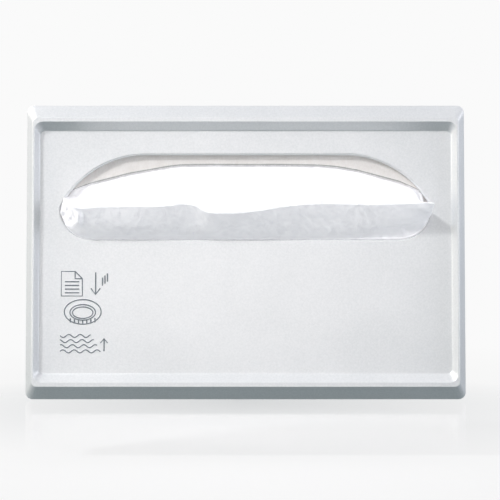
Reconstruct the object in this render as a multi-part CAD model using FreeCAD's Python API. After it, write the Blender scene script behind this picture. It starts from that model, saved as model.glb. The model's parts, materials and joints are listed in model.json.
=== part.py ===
import FreeCAD, Part

import math
import os

# Toilet seat cover dispenser, in millimetres.
# The origin is on the wall plane at the centre of the screw pattern.
# +X is to the right, +Z is up, and the front faces -Y.

# Case
CASE_WIDTH = 430.0
CASE_HEIGHT = 288.0
CASE_DEPTH = 56.0
CASE_CORNER_R = 7.0
COVER_WALL = 2.5
WALL_GAP = 0.5  # between the cover's rear edge and the wall
RUN_CLEARANCE = 0.6  # between the cover's inside and the back plate

# Picture-frame rim
BEVEL_DEPTH = 9.0
BEVEL_INSET_END = 12.8  # at the top and bottom
BEVEL_INSET_SIDE = 7.0
RIDGE_CORNER_R = 5.0
RIM_FLAT_END = 4.1
RIM_FLAT_SIDE = 1.7
RIM_INNER_CORNER_R = 8.0
PANEL_RECESS = 8.0
PANEL_SLOPE_END = 7.8
PANEL_SLOPE_SIDE = 4.1
PANEL_CORNER_R = 5.0
RIDGE_ROUNDING = 0.8

# Dispensing slot: a long shoulder, a tight end and a heel on each side
SLOT_DROP = 48.6  # from the case's top to the slot's top edge
SLOT_HEIGHT = 83.3
SLOT_SIDE_MARGIN = 32.8  # from the case's side to the slot's end
SLOT_END_RISE = 28.0  # from the slot's bottom edge to the middle of its end
SHOULDER_R = 95.0
SLOT_END_R = 14.0
HEEL_R = 31.0
LIP_THICKNESS = 2.0
LIP_DEPTH = 5.0
LIP_ROUNDING = 1.9

# Back plate
PLATE_WALL = 2.5
PLATE_STANDOFF = 3.5  # from the wall to the web
PLATE_FLANGE_DEPTH = 10.0
PLATE_FLANGE = 2.0
PLATE_CORNER_R = 5.0
RIB_THICKNESS = 2.0
RIB_COLUMNS = 5
RIB_ROWS = 3
SCREW_SPACING_X = 300.0
SCREW_SPACING_Z = 180.0
SCREW_HOLE = 5.0
SCREW_HEAD = 10.0
SCREW_SINK = 2.5
SCREW_BOSS = 15.0

# Pack of covers, which fills the room between the shelf, the guides, the web and the slot's lip
STACK_SIDE_ROOM = 28.0  # from the case's side to the pack
STACK_HEAD_ROOM = 38.5  # from the case's top to the pack
STACK_FRONT_ROOM = 2.5  # from the slot's lip to the pack
STACK_FOLD_R = 6.0
STACK_CORNER_R = 70.0
PAPER_GAP = 0.3

# Drawn sheet
SHEET_THICKNESS = 0.8
SHEET_TOP_DROP = 9.4  # from the slot's top edge to the sheet's free edge
SHEET_TOP_HALF = 60.0  # half of the free edge's straight middle
SHEET_TOP_R = 255.0
SHEET_TOP_REACH = 7.0  # from the pack to the sheet's upper bend
SHEET_TOP_FALL = 1.0  # from the free edge to the upper bend
SHEET_CREST_RISE = 34.0  # from the slot's bottom edge to the crest
SHEET_CREST_POINT = 1.0  # how far the rounding takes the crest back
SHEET_REACH = 22.0  # from the panel to the crest
SHEET_TOP_BEND_R = 10.0
SHEET_CREST_R = 5.0
SHEET_LIP_R = 1.5
SHEET_LIP_ROOM = 1.0  # in front of the slot's rounded lip
SHEET_TAIL_R = 30.0
SHEET_SIDE_GAP = 7.0  # beside the slot's ends, so that the cover can swing past
SHEET_HEEL_SET = 4.5  # from the end of the slot's straight bottom edge
SHEET_TAIL_SET = 7.0  # from the pack's side

# Shelf and guides
SHELF_THICKNESS = 2.0
SHELF_GAP = 0.8  # from the hinge knuckles to the shelf's underside
SHELF_TEETH = 5
GUSSET_DROP = 2.75
GUIDE_GAP = 1.5
GUIDE_HEIGHT = 150.0
GUIDE_DEPTH = 22.0

# Bottom hinge
PIN_D = 3.0
PIN_FIT = 0.04
PIN_RUN = 0.2
KNUCKLE_WALL = 1.7
KNUCKLE_BACK_GAP = 0.8  # from the wall to the knuckles
KNUCKLE_FOOT_GAP = 0.3  # from the case's underside up to the knuckles
KNUCKLE_GAP = 0.4
PLATE_KNUCKLE = 20.0
COVER_KNUCKLE = 12.0
HINGE_INSET = 65.0  # from the case's side to the middle of a hinge

# Cam lock in the top wall
LOCK_BODY_D = 16.0
LOCK_FLANGE_STEP = 2.0
LOCK_FLANGE = 1.5
LOCK_LENGTH = 16.0
LOCK_FIT = 0.2
LOCK_PAD = 2.5
LOCK_PAD_MARGIN = 4.0
LOCK_PAD_GAP = 4.0  # from the back plate's flange to the lock's pad
LOCK_NUT_WALL = 2.0
LOCK_NUT = 3.0
LOCK_PLUG_D = 11.0
LOCK_PLUG_LIP = 1.2
LOCK_PLUG_STEP = 1.0
KEYWAY_LENGTH = 7.0
KEYWAY_WIDTH = 1.6
KEYWAY_DEPTH = 3.0
SPIGOT_AF = 6.0
CAM_RING = 1.25  # round the spigot's corners
CAM_TIP_GAP = 3.0  # from the cam's tip to the back plate's web
CAM_THICKNESS = 2.0
CAM_GAP = 0.3
CAM_SCREW_D = 3.0
CAM_SCREW_HEAD_D = 8.5
CAM_SCREW_HEAD = 2.2
CAM_SCREW_LENGTH = 8.0

# Keeper on the back plate
KEEPER_SIDE_GAP = 2.0  # from the lock's barrel to the keeper
KEEPER_WIDTH = 12.0
KEEPER_LIP = 2.5
KEEPER_GAP = 0.7
KEEPER_FLOOR = 2.5
KEEPER_DROP = 5.0
KEEPER_RISE = 4.0

OVERCUT = 5.0  # how far a cutting tool stands past the face that it enters

# Places that follow from the sizes
HALF_WIDTH = CASE_WIDTH / 2
HALF_HEIGHT = CASE_HEIGHT / 2
RIDGE_Y = -CASE_DEPTH
BEVEL_Y = RIDGE_Y + BEVEL_DEPTH
PANEL_Y = RIDGE_Y + PANEL_RECESS
PANEL_BACK_Y = PANEL_Y + COVER_WALL
SLOT_TOP = HALF_HEIGHT - SLOT_DROP
SLOT_BOTTOM = SLOT_TOP - SLOT_HEIGHT
SLOT_END_X = HALF_WIDTH - SLOT_SIDE_MARGIN - SLOT_END_R
SLOT_END_Z = SLOT_BOTTOM + SLOT_END_RISE
WEB_BACK_Y = -PLATE_STANDOFF
WEB_FRONT_Y = WEB_BACK_Y - PLATE_WALL
KNUCKLE_R = PIN_D / 2 + KNUCKLE_WALL
HINGE_Y = -KNUCKLE_BACK_GAP - KNUCKLE_R
HINGE_Z = -HALF_HEIGHT + KNUCKLE_FOOT_GAP + KNUCKLE_R
HINGE_X = HALF_WIDTH - HINGE_INSET
HINGE_REACH = PLATE_KNUCKLE / 2 + KNUCKLE_GAP + COVER_KNUCKLE
SHELF_BOTTOM = HINGE_Z + KNUCKLE_R + SHELF_GAP
SHELF_TOP = SHELF_BOTTOM + SHELF_THICKNESS
STACK_HALF = HALF_WIDTH - STACK_SIDE_ROOM
STACK_TOP = HALF_HEIGHT - STACK_HEAD_ROOM
STACK_BACK_Y = WEB_FRONT_Y
STACK_FRONT_Y = PANEL_Y + LIP_DEPTH + STACK_FRONT_ROOM
SHEET_TOP = SLOT_TOP - SHEET_TOP_DROP
SHEET_CREST_Z = SLOT_BOTTOM + SHEET_CREST_RISE
SHEET_TAIL_HALF = STACK_HALF - SHEET_TAIL_SET
LOCK_PAD_R = LOCK_BODY_D / 2 + LOCK_PAD_MARGIN
LOCK_Y = -PLATE_FLANGE_DEPTH - LOCK_PAD_GAP - LOCK_PAD_R
LOCK_FACE_Z = HALF_HEIGHT
LOCK_SEAT_Z = LOCK_FACE_Z - LOCK_FLANGE
LOCK_FLANGE_R = LOCK_BODY_D / 2 + LOCK_FLANGE_STEP
LOCK_PAD_BOTTOM = HALF_HEIGHT - COVER_WALL - LOCK_PAD
LOCK_BOTTOM = LOCK_FACE_Z - LOCK_LENGTH
LOCK_PLUG_LIP_R = LOCK_PLUG_D / 2 + LOCK_PLUG_STEP
CAM_TOP = LOCK_BOTTOM - CAM_GAP
CAM_BOTTOM = CAM_TOP - CAM_THICKNESS
CAM_HALF = SPIGOT_AF * math.sqrt(0.5) + CAM_RING
CAM_TIP_Y = WEB_FRONT_Y - CAM_TIP_GAP


def vector(x, y, z):
    """A FreeCAD vector."""
    return FreeCAD.Vector(x, y, z)


def box(x0, x1, y0, y1, z0, z1):
    """A box between two corners."""
    low = vector(min(x0, x1), min(y0, y1), min(z0, z1))
    return Part.makeBox(abs(x1 - x0), abs(y1 - y0), abs(z1 - z0), low)


def cylinder_y(x, z, radius, y0, y1):
    """A cylinder along Y from y0 back or forward to y1."""
    return Part.makeCylinder(radius, abs(y1 - y0), vector(x, min(y0, y1), z), vector(0, 1, 0))


def cylinder_z(x, y, radius, z0, z1):
    """An upright cylinder."""
    return Part.makeCylinder(radius, abs(z1 - z0), vector(x, y, min(z0, z1)))


def cylinder_x(y, z, radius, x0, x1):
    """A cylinder along X."""
    return Part.makeCylinder(radius, abs(x1 - x0), vector(min(x0, x1), y, z), vector(1, 0, 0))


def rounded_frame(left, right, bottom, top, radius, y):
    """A rounded rectangle, as a closed wire in the plane at y."""
    slant = radius * (1 - math.sqrt(0.5))
    corners = [
        (right - radius, bottom, right - slant, bottom + slant, right, bottom + radius),
        (right, top - radius, right - slant, top - slant, right - radius, top),
        (left + radius, top, left + slant, top - slant, left, top - radius),
        (left, bottom + radius, left + slant, bottom + slant, left + radius, bottom),
    ]
    edges = []
    last = corners[-1]
    for corner in corners:
        start = vector(last[4], y, last[5])
        end = vector(corner[0], y, corner[1])
        middle = vector(corner[2], y, corner[3])
        finish = vector(corner[4], y, corner[5])
        edges.append(Part.LineSegment(start, end).toShape())
        edges.append(Part.Arc(end, middle, finish).toShape())
        last = corner
    return Part.Wire(edges)


def case_frame(inset_side, inset_end, radius, y):
    """A rounded rectangle set in from the case's outline."""
    side = HALF_WIDTH - inset_side
    end = HALF_HEIGHT - inset_end
    return rounded_frame(-side, side, -end, end, radius, y)


def loft(first, second):
    """A solid with straight flanks between two wires."""
    return Part.makeLoft([first, second], True, True)


def prism(wire, depth):
    """A solid from a wire, drawn along Y."""
    return Part.Face(wire).extrude(vector(0, depth, 0))


def slot_arc_centre(radius, level):
    """The centre, on a level, of the arc that runs on smoothly from the slot's right-hand end."""
    reach = radius - SLOT_END_R
    return SLOT_END_X - math.sqrt(reach ** 2 - (SLOT_END_Z - level) ** 2), level


def slot_wire(grow, y):
    """The slot's outline, grown outwards, at y."""
    shoulder = slot_arc_centre(SHOULDER_R, SLOT_TOP - SHOULDER_R)
    heel = slot_arc_centre(HEEL_R, SLOT_BOTTOM + HEEL_R)
    end = (SLOT_END_X, SLOT_END_Z)
    upper = math.atan2(end[1] - shoulder[1], end[0] - shoulder[0])
    lower = math.atan2(end[1] - heel[1], end[0] - heel[0])
    quarter = math.pi / 2

    def on(centre, radius, angle, side):
        """A point of one of the arcs, on the right or the left."""
        reach = radius + grow
        return vector(side * (centre[0] + reach * math.cos(angle)), y, centre[1] + reach * math.sin(angle))

    def arc(centre, radius, start, stop, side):
        """One arc between two angles."""
        middle = on(centre, radius, (start + stop) / 2, side)
        return Part.Arc(on(centre, radius, start, side), middle, on(centre, radius, stop, side)).toShape()

    right = [
        arc(heel, HEEL_R, -quarter, lower, 1),
        arc(end, SLOT_END_R, lower, upper, 1),
        arc(shoulder, SHOULDER_R, upper, quarter, 1),
    ]
    left = [
        arc(shoulder, SHOULDER_R, quarter, upper, -1),
        arc(end, SLOT_END_R, upper, lower, -1),
        arc(heel, HEEL_R, lower, -quarter, -1),
    ]
    top_right, top_left = (on(shoulder, SHOULDER_R, quarter, side) for side in (1, -1))
    low_right, low_left = (on(heel, HEEL_R, -quarter, side) for side in (1, -1))
    top = Part.LineSegment(top_right, top_left).toShape()
    bottom = Part.LineSegment(low_left, low_right).toShape()
    return Part.Wire(right + [top] + left + [bottom])


def edges_in_plane(shape, y, inside_x, inside_z):
    """The edges of a shape that lie in the plane at y, within a half width and a half height."""
    found = []
    for edge in shape.Edges:
        frame = edge.BoundBox
        flat = abs(frame.YMin - y) < 0.01 and abs(frame.YMax - y) < 0.01
        reach_x = max(abs(frame.XMin), abs(frame.XMax))
        reach_z = max(abs(frame.ZMin), abs(frame.ZMax))
        if flat and reach_x < inside_x and reach_z < inside_z:
            found.append(edge)
    return found


# Front cover


def cover_outside():
    """The case's outer form: a straight skirt, then the bevel up to the ridge."""
    rear_y = -WALL_GAP
    skirt = prism(case_frame(0, 0, CASE_CORNER_R, BEVEL_Y), rear_y - BEVEL_Y)
    ridge = case_frame(BEVEL_INSET_SIDE, BEVEL_INSET_END, RIDGE_CORNER_R, RIDGE_Y)
    return skirt.fuse(loft(case_frame(0, 0, CASE_CORNER_R, BEVEL_Y), ridge)).removeSplitter()


def cover_recess():
    """The space in front of the panel, with its sloping walls."""
    flat_side = BEVEL_INSET_SIDE + RIM_FLAT_SIDE
    flat_end = BEVEL_INSET_END + RIM_FLAT_END
    mouth = case_frame(flat_side, flat_end, RIM_INNER_CORNER_R, RIDGE_Y)
    floor = case_frame(flat_side + PANEL_SLOPE_SIDE, flat_end + PANEL_SLOPE_END, PANEL_CORNER_R, PANEL_Y)
    return loft(mouth, floor)


def cover_hollow():
    """The space inside the cover: the case's form less one wall, and less the panel's pan."""
    wall = COVER_WALL
    inner_y = RIDGE_Y + wall
    open_y = OVERCUT
    skirt = prism(case_frame(wall, wall, CASE_CORNER_R - wall, BEVEL_Y), open_y - BEVEL_Y)
    ridge_side = BEVEL_INSET_SIDE + RIM_FLAT_SIDE / 2
    ridge_end = BEVEL_INSET_END + RIM_FLAT_END / 2
    ridge = case_frame(ridge_side, ridge_end, RIDGE_CORNER_R, inner_y)
    bevel = loft(case_frame(wall, wall, CASE_CORNER_R - wall, BEVEL_Y), ridge)
    pan_side = BEVEL_INSET_SIDE + RIM_FLAT_SIDE
    pan_end = BEVEL_INSET_END + RIM_FLAT_END
    mouth = case_frame(pan_side - wall, pan_end - wall, RIM_INNER_CORNER_R + wall, RIDGE_Y)
    floor_side = pan_side + PANEL_SLOPE_SIDE - wall
    floor_end = pan_end + PANEL_SLOPE_END - wall
    floor = case_frame(floor_side, floor_end, PANEL_CORNER_R + wall, PANEL_BACK_Y)
    return skirt.fuse(bevel).cut(loft(mouth, floor))


def hinge_centres():
    """The middle of each hinge along X."""
    return [-HINGE_X, HINGE_X]


def cover_knuckle_spans(centre):
    """Where the cover's two knuckles of one hinge start and end along X."""
    near = PLATE_KNUCKLE / 2 + KNUCKLE_GAP
    return [(centre - HINGE_REACH, centre - near), (centre + near, centre + HINGE_REACH)]


def make_front_cover():
    """The moulded cover: rim, panel, slot with its return lip, lock seat and hinge knuckles."""
    outside = cover_outside()
    ridge = edges_in_plane(outside, RIDGE_Y, CASE_WIDTH, CASE_HEIGHT)
    outside = outside.makeFillet(RIDGE_ROUNDING, ridge)
    cover = outside.cut(cover_hollow())

    lip = prism(slot_wire(LIP_THICKNESS, PANEL_Y + COVER_WALL / 2), LIP_DEPTH - COVER_WALL / 2)
    cover = cover.fuse(lip).cut(prism(slot_wire(0, RIDGE_Y - OVERCUT), CASE_DEPTH))
    cover = cover.cut(cover_recess())
    inside_x = HALF_WIDTH - SLOT_SIDE_MARGIN / 2
    inside_z = HALF_HEIGHT - SLOT_DROP / 2
    cover = cover.makeFillet(LIP_ROUNDING, edges_in_plane(cover, PANEL_Y, inside_x, inside_z))

    over_top = HALF_HEIGHT + OVERCUT
    cover = cover.fuse(cylinder_z(0, LOCK_Y, LOCK_PAD_R, LOCK_PAD_BOTTOM, HALF_HEIGHT - COVER_WALL / 2))
    cover = cover.cut(cylinder_z(0, LOCK_Y, LOCK_FLANGE_R + LOCK_FIT, LOCK_SEAT_Z, over_top))
    cover = cover.cut(cylinder_z(0, LOCK_Y, (LOCK_BODY_D + LOCK_FIT) / 2, LOCK_BOTTOM, over_top))

    under = -HALF_HEIGHT - OVERCUT
    cover = cover.cut(box(-HALF_WIDTH - OVERCUT, HALF_WIDTH + OVERCUT, HINGE_Y, OVERCUT, under, HINGE_Z))
    notch = PLATE_KNUCKLE / 2 + KNUCKLE_GAP
    web_y = HINGE_Y - KNUCKLE_R
    web_bottom = -HALF_HEIGHT + COVER_WALL / 2
    web_top = -HALF_HEIGHT + COVER_WALL + KNUCKLE_R / 2
    for centre in hinge_centres():
        cover = cover.cut(box(centre - notch, centre + notch, web_y - KNUCKLE_GAP, 0, under, HINGE_Z))
        for start, end in cover_knuckle_spans(centre):
            cover = cover.fuse(cylinder_x(HINGE_Y, HINGE_Z, KNUCKLE_R, start, end))
            cover = cover.fuse(box(start, end, web_y, HINGE_Y, web_bottom, web_top))
            cover = cover.cut(cylinder_x(HINGE_Y, HINGE_Z, (PIN_D + PIN_RUN) / 2, start - 1, end + 1))
    return cover.removeSplitter()


# Back plate


def screw_places():
    """The centres of the four wall-screw holes, as X and Z."""
    half_x, half_z = SCREW_SPACING_X / 2, SCREW_SPACING_Z / 2
    return [(x, z) for x in (-half_x, half_x) for z in (-half_z, half_z)]


def spaced(low, high, count):
    """Evenly spaced places between two ends, without the ends."""
    step = (high - low) / (count + 1)
    return [low + step * (i + 1) for i in range(count)]


def make_back_plate():
    """The moulded wall plate: web, flange, ribs, bosses, shelf, guides, knuckles and keeper."""
    side = HALF_WIDTH - COVER_WALL - RUN_CLEARANCE
    top = HALF_HEIGHT - COVER_WALL - RUN_CLEARANCE
    bottom = SHELF_BOTTOM
    radius = PLATE_CORNER_R - PLATE_FLANGE
    outline = rounded_frame(-side, side, bottom, top, PLATE_CORNER_R, 0)
    inner_side = side - PLATE_FLANGE
    inner = rounded_frame(-inner_side, inner_side, bottom + PLATE_FLANGE, top - PLATE_FLANGE, radius, OVERCUT)
    plate = prism(outline, -PLATE_FLANGE_DEPTH)
    hollow = prism(inner, -PLATE_FLANGE_DEPTH - 2 * OVERCUT)
    web = prism(rounded_frame(-side, side, bottom, top, PLATE_CORNER_R, WEB_BACK_Y), -PLATE_WALL)
    plate = plate.cut(hollow).fuse(web)

    half_rib = RIB_THICKNESS / 2
    for x in spaced(-side, side, RIB_COLUMNS):
        plate = plate.fuse(box(x - half_rib, x + half_rib, 0, WEB_FRONT_Y, bottom, top))
    for z in spaced(bottom, top, RIB_ROWS):
        plate = plate.fuse(box(-side, side, 0, WEB_FRONT_Y, z - half_rib, z + half_rib))
    for x, z in screw_places():
        plate = plate.fuse(cylinder_y(x, z, SCREW_BOSS / 2, 0, WEB_FRONT_Y))

    plate = plate.fuse(box(-side, side, WEB_BACK_Y, STACK_FRONT_Y, SHELF_BOTTOM, SHELF_TOP))
    between_hinges = HINGE_X - HINGE_REACH
    for x in spaced(-between_hinges, between_hinges, SHELF_TEETH):
        root = vector(x - half_rib, WEB_BACK_Y, SHELF_BOTTOM)
        tip = vector(x - half_rib, STACK_FRONT_Y, SHELF_BOTTOM)
        foot = vector(x - half_rib, WEB_BACK_Y, SHELF_BOTTOM - GUSSET_DROP)
        gusset = Part.Face(Part.makePolygon([root, tip, foot, root]))
        plate = plate.fuse(gusset.extrude(vector(RIB_THICKNESS, 0, 0)))
    guide_front, guide_top = WEB_FRONT_Y - GUIDE_DEPTH, SHELF_TOP + GUIDE_HEIGHT
    for direction in (-1, 1):
        near = direction * (STACK_HALF + GUIDE_GAP)
        far = near + direction * RIB_THICKNESS
        plate = plate.fuse(box(near, far, WEB_BACK_Y, guide_front, SHELF_BOTTOM, guide_top))

    for centre in hinge_centres():
        start, end = centre - PLATE_KNUCKLE / 2, centre + PLATE_KNUCKLE / 2
        plate = plate.fuse(cylinder_x(HINGE_Y, HINGE_Z, KNUCKLE_R, start, end))
        plate = plate.fuse(box(start, end, HINGE_Y - KNUCKLE_R, HINGE_Y + KNUCKLE_R, HINGE_Z, SHELF_TOP))
        plate = plate.cut(cylinder_x(HINGE_Y, HINGE_Z, (PIN_D + PIN_FIT) / 2, start - 1, end + 1))

    lip_back = LOCK_Y - CAM_HALF - KEEPER_GAP
    lip_front = lip_back - KEEPER_LIP
    floor_top = CAM_BOTTOM - KEEPER_DROP
    floor_bottom = floor_top - KEEPER_FLOOR
    start = LOCK_BODY_D / 2 + KEEPER_SIDE_GAP
    end = start + KEEPER_WIDTH
    plate = plate.fuse(box(start, end, WEB_BACK_Y, lip_front, floor_bottom, floor_top))
    plate = plate.fuse(box(start, end, lip_back, lip_front, floor_bottom, CAM_TOP + KEEPER_RISE))

    for x, z in screw_places():
        plate = plate.cut(cylinder_y(x, z, SCREW_HOLE / 2, OVERCUT, WEB_FRONT_Y - OVERCUT))
        sink_start = vector(x, WEB_FRONT_Y + SCREW_SINK, z)
        sink = Part.makeCone(SCREW_HOLE / 2, SCREW_HEAD / 2, SCREW_SINK, sink_start, vector(0, -1, 0))
        plate = plate.cut(sink)
    return plate.removeSplitter()


# Hinge pins


def make_hinge_pin(centre):
    """A plain steel pin through one hinge's three knuckles."""
    return cylinder_x(HINGE_Y, HINGE_Z, PIN_D / 2, centre - HINGE_REACH, centre + HINGE_REACH)


# Cam lock


def hexagon(across_flats, z0, z1):
    """A hexagonal prism on the lock's axis."""
    reach = across_flats / math.sqrt(3)
    points = []
    for i in range(7):
        angle = math.radians(60 * i + 30)
        points.append(vector(reach * math.cos(angle), LOCK_Y + reach * math.sin(angle), z0))
    return Part.Face(Part.makePolygon(points)).extrude(vector(0, 0, z1 - z0))


def make_lock_housing():
    """The fixed barrel with its flange, bored for the plug."""
    barrel = cylinder_z(0, LOCK_Y, LOCK_BODY_D / 2, LOCK_BOTTOM, LOCK_SEAT_Z)
    flange = cylinder_z(0, LOCK_Y, LOCK_FLANGE_R, LOCK_SEAT_Z, LOCK_FACE_Z)
    housing = barrel.fuse(flange)
    bore_r = (LOCK_PLUG_D + LOCK_FIT) / 2
    housing = housing.cut(cylinder_z(0, LOCK_Y, bore_r, LOCK_BOTTOM - OVERCUT, LOCK_FACE_Z + OVERCUT))
    seat_z = LOCK_FACE_Z - LOCK_PLUG_LIP - LOCK_FIT
    lip_room = cylinder_z(0, LOCK_Y, LOCK_PLUG_LIP_R + LOCK_FIT / 2, seat_z, LOCK_FACE_Z + OVERCUT)
    return housing.cut(lip_room).removeSplitter()


def make_lock_nut():
    """The hexagonal nut under the cover's lock pad."""
    nut = hexagon(LOCK_BODY_D + 2 * LOCK_NUT_WALL, LOCK_PAD_BOTTOM - LOCK_NUT, LOCK_PAD_BOTTOM)
    return nut.cut(cylinder_z(0, LOCK_Y, (LOCK_BODY_D + LOCK_FIT) / 2, LOCK_BOTTOM, LOCK_FACE_Z))


def make_lock_plug():
    """The plug that the key turns: a lipped head, a keyway and a square spigot for the cam."""
    head_bottom = LOCK_FACE_Z - LOCK_PLUG_LIP
    plug = cylinder_z(0, LOCK_Y, LOCK_PLUG_D / 2, CAM_TOP, LOCK_FACE_Z)
    plug = plug.fuse(cylinder_z(0, LOCK_Y, LOCK_PLUG_LIP_R, head_bottom, LOCK_FACE_Z))
    half = SPIGOT_AF / 2
    plug = plug.fuse(box(-half, half, LOCK_Y - half, LOCK_Y + half, CAM_BOTTOM, CAM_TOP + CAM_GAP))
    long, wide = KEYWAY_LENGTH / 2, KEYWAY_WIDTH / 2
    keyway_z = LOCK_FACE_Z - KEYWAY_DEPTH
    keyway = box(-wide, wide, LOCK_Y - long, LOCK_Y + long, keyway_z, LOCK_FACE_Z + OVERCUT)
    bore = cylinder_z(0, LOCK_Y, CAM_SCREW_D / 2, CAM_BOTTOM - 1, CAM_BOTTOM + CAM_SCREW_LENGTH)
    return plug.cut(keyway).cut(bore).removeSplitter()


def make_lock_cam():
    """The flat cam, which points at the wall when the lock is open."""
    half = CAM_HALF
    tip = CAM_TIP_Y
    cam = cylinder_z(0, LOCK_Y, half, CAM_BOTTOM, CAM_TOP)
    cam = cam.fuse(box(-half, half, LOCK_Y, tip - half, CAM_BOTTOM, CAM_TOP))
    cam = cam.fuse(cylinder_z(0, tip - half, half, CAM_BOTTOM, CAM_TOP))
    square = SPIGOT_AF / 2
    hole = box(-square, square, LOCK_Y - square, LOCK_Y + square, CAM_BOTTOM - 1, CAM_TOP + 1)
    return cam.cut(hole).removeSplitter()


def make_lock_screw():
    """The pan-head screw that holds the cam on its spigot."""
    head_bottom = CAM_BOTTOM - CAM_SCREW_HEAD
    shank = cylinder_z(0, LOCK_Y, CAM_SCREW_D / 2, CAM_BOTTOM - 1, CAM_BOTTOM + CAM_SCREW_LENGTH)
    head = cylinder_z(0, LOCK_Y, CAM_SCREW_HEAD_D / 2, head_bottom, CAM_BOTTOM)
    rim = [edge for edge in head.Edges if abs(edge.BoundBox.ZMax - head_bottom) < 0.01]
    head = head.makeChamfer(CAM_SCREW_HEAD / 3, rim)
    half_long = CAM_SCREW_HEAD_D / 4
    half_wide = CAM_SCREW_HEAD_D / 14
    screw = shank.fuse(head)
    recess_top = head_bottom + CAM_SCREW_HEAD / 2
    for x, y in ((half_long, half_wide), (half_wide, half_long)):
        screw = screw.cut(box(-x, x, LOCK_Y - y, LOCK_Y + y, head_bottom - OVERCUT, recess_top))
    return screw.removeSplitter()


# Paper


def make_cover_stack():
    """The pack of half-folded covers: rounded free corners above, a soft fold below."""
    side = STACK_HALF
    bottom, top = SHELF_TOP, STACK_TOP
    turn = side - STACK_CORNER_R
    slant = STACK_CORNER_R * math.sqrt(0.5)
    arc_z = top - STACK_CORNER_R
    y = STACK_BACK_Y

    def corner(direction):
        """One of the two rounded corners, from its side to the top."""
        start = vector(direction * side, y, arc_z)
        middle = vector(direction * (turn + slant), y, arc_z + slant)
        return start, Part.Arc(start, middle, vector(direction * turn, y, top)).toShape()

    right, right_arc = corner(1)
    left, left_arc = corner(-1)
    low_right, low_left = vector(side, y, bottom), vector(-side, y, bottom)
    top_line = Part.LineSegment(vector(turn, y, top), vector(-turn, y, top)).toShape()
    outline = Part.Wire(
        [
            Part.LineSegment(low_left, low_right).toShape(),
            Part.LineSegment(low_right, right).toShape(),
            right_arc,
            top_line,
            left_arc,
            Part.LineSegment(left, low_left).toShape(),
        ]
    )
    stack = prism(outline, STACK_FRONT_Y - STACK_BACK_Y)
    low = [edge for edge in stack.Edges if abs(edge.BoundBox.ZMax - bottom) < 0.01]
    folds = [edge for edge in low if edge.BoundBox.XLength > side]
    return stack.makeFillet(STACK_FOLD_R, folds)


def bent_line(points, radii, shift, x):
    """Straight runs and tangent arcs in the YZ plane at x, set off by a shift to the line's left."""
    sides = []
    for (ya, za), (yb, zb) in zip(points, points[1:]):
        run = math.hypot(yb - ya, zb - za)
        sides.append(((yb - ya) / run, (zb - za) / run))
    edges = []
    last = (points[0][0] - sides[0][1] * shift, points[0][1] + sides[0][0] * shift)
    for (y, z), radius, (ay, az), (by, bz) in zip(points[1:-1], radii, sides, sides[1:]):
        turn = math.atan2(ay * bz - az * by, ay * by + az * bz)
        hand = math.copysign(1, turn)
        centre = (
            y - ay * radius * math.tan(abs(turn) / 2) - az * hand * radius,
            z - az * radius * math.tan(abs(turn) / 2) + ay * hand * radius,
        )
        reach = radius - hand * shift

        def on(angle):
            """A point of the arc, the given turn from its start."""
            sy, sz = az * hand, -ay * hand
            cos, sin = math.cos(angle), math.sin(angle)
            return centre[0] + reach * (sy * cos - sz * sin), centre[1] + reach * (sy * sin + sz * cos)

        first, middle, final = on(0), on(turn / 2), on(turn)
        edges.append(Part.LineSegment(vector(x, *last), vector(x, *first)).toShape())
        edges.append(Part.Arc(vector(x, *first), vector(x, *middle), vector(x, *final)).toShape())
        last = final
    stop = (points[-1][0] - sides[-1][1] * shift, points[-1][1] + sides[-1][0] * shift)
    edges.append(Part.LineSegment(vector(x, *last), vector(x, *stop)).toShape())
    return edges


def band(points, radii, thickness, half_width):
    """A sheet that follows straight runs and arcs in the YZ plane, drawn along X."""
    near = bent_line(points, radii, 0, -half_width)
    far = bent_line(points, radii, thickness, -half_width)
    head = Part.LineSegment(near[0].firstVertex().Point, far[0].firstVertex().Point).toShape()
    tail = Part.LineSegment(near[-1].lastVertex().Point, far[-1].lastVertex().Point).toShape()
    outline = Part.Wire(Part.__sortEdges__(near + far + [head, tail]))
    return Part.Face(outline).extrude(vector(2 * half_width, 0, 0))


def free_edge_prism():
    """The space under the drawn sheet's free edge: level in the middle, with an arc down to each side."""
    side = HALF_WIDTH
    drop = SHEET_TOP_R - math.sqrt(SHEET_TOP_R ** 2 - (side - SHEET_TOP_HALF) ** 2)
    middle_x = (side + SHEET_TOP_HALF) / 2
    middle_drop = SHEET_TOP_R - math.sqrt(SHEET_TOP_R ** 2 - (middle_x - SHEET_TOP_HALF) ** 2)
    y, bottom = RIDGE_Y - CASE_DEPTH, -HALF_HEIGHT

    def shoulder(direction):
        """One falling side of the free edge."""
        return Part.Arc(
            vector(direction * SHEET_TOP_HALF, y, SHEET_TOP),
            vector(direction * middle_x, y, SHEET_TOP - middle_drop),
            vector(direction * side, y, SHEET_TOP - drop),
        ).toShape()

    left, right = (vector(direction * SHEET_TOP_HALF, y, SHEET_TOP) for direction in (-1, 1))
    flat = Part.LineSegment(left, right).toShape()
    box_side = [
        Part.LineSegment(vector(side, y, SHEET_TOP - drop), vector(side, y, bottom)).toShape(),
        Part.LineSegment(vector(side, y, bottom), vector(-side, y, bottom)).toShape(),
        Part.LineSegment(vector(-side, y, bottom), vector(-side, y, SHEET_TOP - drop)).toShape(),
    ]
    outline = Part.Wire(Part.__sortEdges__([flat, shoulder(1), shoulder(-1)] + box_side))
    return prism(outline, 2 * CASE_DEPTH)


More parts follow.
